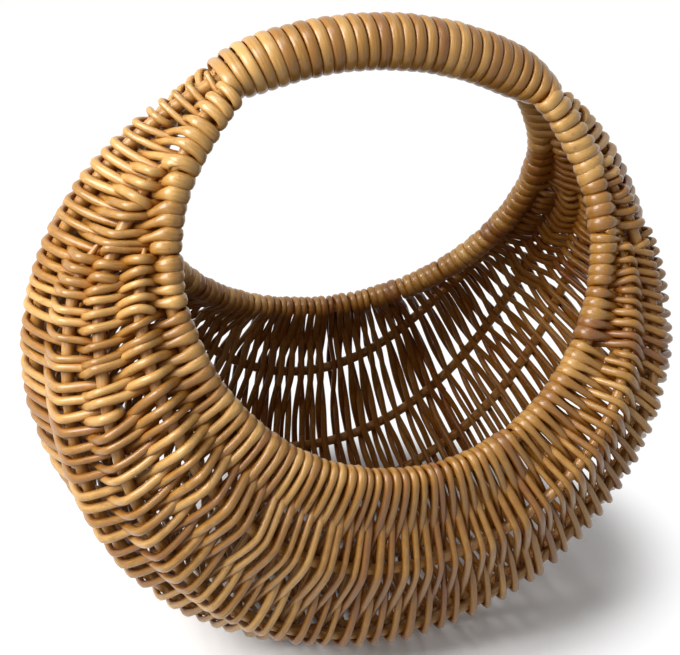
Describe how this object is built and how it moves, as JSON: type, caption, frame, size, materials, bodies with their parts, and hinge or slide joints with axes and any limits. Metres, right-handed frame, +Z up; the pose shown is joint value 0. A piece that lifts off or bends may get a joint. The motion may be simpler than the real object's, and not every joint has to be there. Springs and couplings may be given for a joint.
{
  "type": "round willow foraging basket",
  "caption": "Round moon-shaped willow basket on hoops and ribs, with a low rim front and back and one wrapped handle overhead, for gathering mushrooms.",
  "frame": {"origin": "centre of the basket's width and depth, on the surface that it stands on", "axes": "X is the width along the handle, Y the depth with the front at minus Y, and Z is up"},
  "size_m": [0.4158, 0.251, 0.398],
  "materials": {
    "willow_rod": "varnished peeled willow rod",
    "willow_weave": "varnished buff willow weavers",
    "willow_wrap": "varnished willow skein, glossy"
  },
  "bodies": {
    "root": {"back_hoop": "willow_rod", "back_rib_high": "willow_rod", "back_rib_low": "willow_rod", "back_rib_middle": "willow_rod", "back_rim_binding": "willow_weave", "back_shoulder_left": "willow_weave", "back_shoulder_right": "willow_weave", "back_weave_base": "willow_weave", "back_weave_low": "willow_weave", "back_weave_middle": "willow_weave", "back_weave_top": "willow_weave", "front_hoop": "willow_rod", "front_rib_high": "willow_rod", "front_rib_low": "willow_rod", "front_rib_middle": "willow_rod", "front_rim_binding": "willow_weave", "front_shoulder_left": "willow_weave", "front_shoulder_right": "willow_weave", "front_weave_base": "willow_weave", "front_weave_low": "willow_weave", "front_weave_middle": "willow_weave", "front_weave_top": "willow_weave", "handle_filler_inner": "willow_rod", "handle_filler_outer": "willow_rod", "handle_wrap_left": "willow_wrap", "handle_wrap_right": "willow_wrap", "keel_hoop": "willow_rod"}
  },
  "joints": []
}
